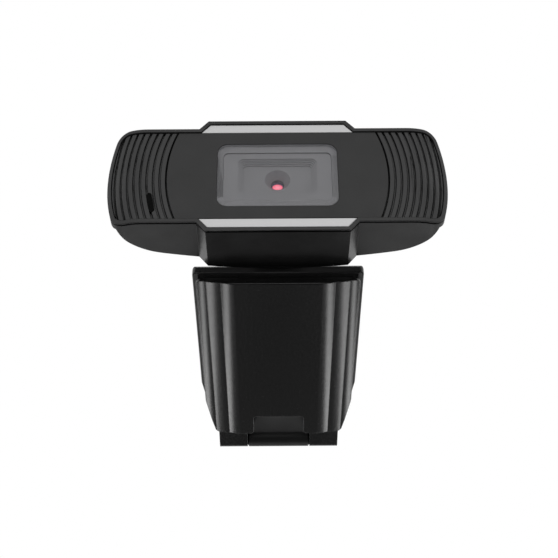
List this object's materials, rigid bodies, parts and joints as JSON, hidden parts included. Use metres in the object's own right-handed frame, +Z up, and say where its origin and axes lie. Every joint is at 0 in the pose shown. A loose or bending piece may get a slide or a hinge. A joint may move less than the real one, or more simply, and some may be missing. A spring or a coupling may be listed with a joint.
{
  "type": "webcam",
  "caption": "USB webcam head with ribbed ends, glass window and silver trim strips, tilting on a flat fold-out two-leaf clip that also serves as its stand.",
  "frame": {"origin": "middle of the footprint, on the surface that the closed clip lies on", "axes": "+Z up, the lens looks along -Y, +X to the right when facing the lens's view from the front"},
  "size_m": [0.0988, 0.1148, 0.0444],
  "materials": {
    "shell_black": "fine-grained black ABS",
    "face_black": "fine-grained charcoal ABS",
    "grille_black": "satin charcoal ABS",
    "silver_trim": "satin silver paint",
    "window": "clear tinted cover glass",
    "shroud_grey": "matte grey",
    "lens_black": "matte black",
    "lens_coated": "multi-coated lens with a pink reflection",
    "lens_clear": "clear optical glass",
    "sensor": "sensor under cover glass",
    "circuit_board": "green solder mask",
    "chip_black": "moulded epoxy",
    "connector": "natural nylon",
    "steel": "zinc-plated steel",
    "carrier_black": "as moulded",
    "rubber": "soft black rubber",
    "foam": "fuzzy black foam rubber",
    "clip_black": "satin black ABS",
    "leaf_gloss": "semi-gloss black ABS"
  },
  "bodies": {
    "clip": {"clip_plate": "clip_black", "clip_pad": "foam", "tilt_screw": "steel", "tilt_nut": "steel", "hinge_pin": "steel"},
    "head": {"bezel_ring": "shell_black", "face_panel": "face_black", "grille_left": "grille_black", "grille_right": "grille_black", "trim_top": "silver_trim", "trim_bottom": "silver_trim", "window_glass": "window", "glass_tape": "shroud_grey", "lens_shroud": "shroud_grey", "lens_barrel": "lens_black", "front_lens": "lens_coated", "rear_lens": "lens_clear", "ir_filter": "lens_clear", "lens_holder": "lens_black", "image_sensor": "sensor", "main_board": "circuit_board", "controller_chip": "chip_black", "cable_socket": "connector", "board_screws": "steel", "mic_capsule": "rubber", "mic_gasket": "rubber", "front_carrier": "carrier_black", "rear_shell": "shell_black", "shell_screws": "steel", "tilt_washers": "steel"},
    "leaf": {"clip_leaf": "leaf_gloss", "leaf_pad": "rubber", "hinge_caps": "clip_black"}
  },
  "joints": [
    {"name": "head_tilt", "type": "hinge", "parent": "clip", "child": "head", "pos_m": [0, -0.02872, 0.01425], "axis": [1, 0, 0], "range_deg": [-30, 5]},
    {"name": "clip_open", "type": "hinge", "parent": "clip", "child": "leaf", "pos_m": [0, 0.05423, 0.0034], "axis": [1, 0, 0], "range_deg": [0, 120]}
  ]
}
